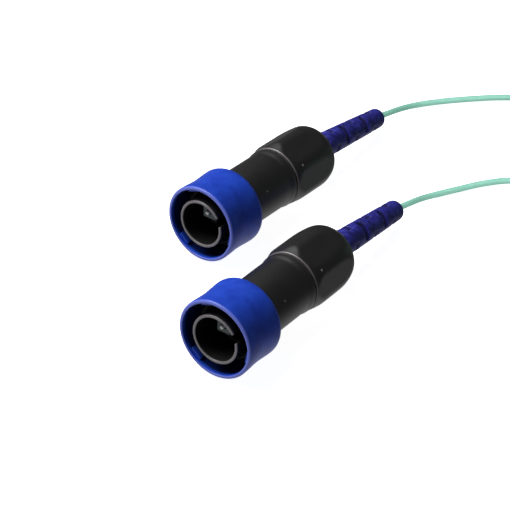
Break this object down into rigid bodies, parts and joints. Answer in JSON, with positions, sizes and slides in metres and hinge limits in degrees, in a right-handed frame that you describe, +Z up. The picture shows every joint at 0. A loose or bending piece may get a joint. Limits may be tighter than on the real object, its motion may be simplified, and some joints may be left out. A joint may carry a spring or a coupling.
{
  "type": "fibre optic patch cord",
  "caption": "Aqua fibre patch cord with sealed round twist-lock plugs: blue locking ring, black body and hex gland nut, slotted boot, spare cable coiled and tied.",
  "frame": {"origin": "centre of the two plugs' footprint on the table, at table height", "axes": "+Y along the plugs, from the mating faces to the cables; +Z up; +X towards the nearer plug"},
  "size_m": [0.1017, 0.1954, 0.0246],
  "materials": {
    "blue_nylon": "satin moulded nylon",
    "black_nylon": "fine-grained moulded nylon",
    "seal_rubber": "matt rubber",
    "spring_steel": "bright spring steel",
    "plated_metal": "nickel plated brass",
    "connector_plastic": "moulded",
    "zirconia": "polished ceramic",
    "buffer_plastic": "smooth",
    "cable_jacket": "smooth matt jacket",
    "boot_rubber": "satin elastomer",
    "tie_fabric": "woven hook and loop"
  },
  "bodies": {
    "cord_and_plug_bodies": {"plug_body_a": "black_nylon", "face_seal_a": "seal_rubber", "ring_clip_a": "spring_steel", "ring_wave_spring_a": "spring_steel", "connector_carrier_a": "black_nylon", "connector_housing_a": "connector_plastic", "ferrule_spring_a": "spring_steel", "connector_backpost_a": "plated_metal", "crimp_sleeve_a": "plated_metal", "fibre_buffer_a": "buffer_plastic", "cable_inner_a": "cable_jacket", "gland_cage_a": "black_nylon", "gland_seal_a": "seal_rubber", "slip_washer_a": "plated_metal", "gland_nut_a": "black_nylon", "strain_relief_boot_a": "boot_rubber", "plug_body_b": "black_nylon", "face_seal_b": "seal_rubber", "ring_clip_b": "spring_steel", "ring_wave_spring_b": "spring_steel", "connector_carrier_b": "black_nylon", "connector_housing_b": "connector_plastic", "ferrule_spring_b": "spring_steel", "connector_backpost_b": "plated_metal", "crimp_sleeve_b": "plated_metal", "fibre_buffer_b": "buffer_plastic", "cable_inner_b": "cable_jacket", "gland_cage_b": "black_nylon", "gland_seal_b": "seal_rubber", "slip_washer_b": "plated_metal", "gland_nut_b": "black_nylon", "strain_relief_boot_b": "boot_rubber", "cable_run_a": "cable_jacket", "cable_run_b": "cable_jacket", "cable_coil": "cable_jacket", "coil_tie_1": "tie_fabric", "coil_tie_2": "tie_fabric"},
    "coupling_ring_a": {"coupling_ring_a": "blue_nylon"},
    "ferrule_a": {"ferrule_a": "zirconia", "ferrule_flange_a": "plated_metal"},
    "latch_a": {"latch_lever_a": "connector_plastic"},
    "coupling_ring_b": {"coupling_ring_b": "blue_nylon"},
    "ferrule_b": {"ferrule_b": "zirconia", "ferrule_flange_b": "plated_metal"},
    "latch_b": {"latch_lever_b": "connector_plastic"}
  },
  "joints": [
    {"name": "ring_twist_a", "type": "hinge", "parent": "cord_and_plug_bodies", "child": "coupling_ring_a", "pos_m": [-0.01853, -0.02567, 0.01265], "axis": [0, -0.9988, 0.0487], "range_deg": [0, 30]},
    {"name": "ferrule_slide_a", "type": "slide", "parent": "cord_and_plug_bodies", "child": "ferrule_a", "axis": [0, 0.9988, -0.0487], "range_m": [0, 0.0006], "stiffness_N_per_m": 1000, "deforming": ["ferrule_spring_a"]},
    {"name": "latch_flex_a", "type": "hinge", "parent": "cord_and_plug_bodies", "child": "latch_a", "pos_m": [-0.01853, -0.0196, 0.0118], "axis": [1, 0, 0], "range_deg": [0, 6], "stiffness_Nm_per_rad": 0.05},
    {"name": "ring_twist_b", "type": "hinge", "parent": "cord_and_plug_bodies", "child": "coupling_ring_b", "pos_m": [0.01857, -0.06587, 0.01265], "axis": [0.0296, -0.9984, 0.0487], "range_deg": [0, 30]},
    {"name": "ferrule_slide_b", "type": "slide", "parent": "cord_and_plug_bodies", "child": "ferrule_b", "axis": [-0.0296, 0.9984, -0.0487], "range_m": [0, 0.0006], "stiffness_N_per_m": 1000, "deforming": ["ferrule_spring_b"]},
    {"name": "latch_flex_b", "type": "hinge", "parent": "cord_and_plug_bodies", "child": "latch_b", "pos_m": [0.01839, -0.05981, 0.0118], "axis": [0.9996, 0.0297, 0], "range_deg": [0, 6], "stiffness_Nm_per_rad": 0.05}
  ]
}
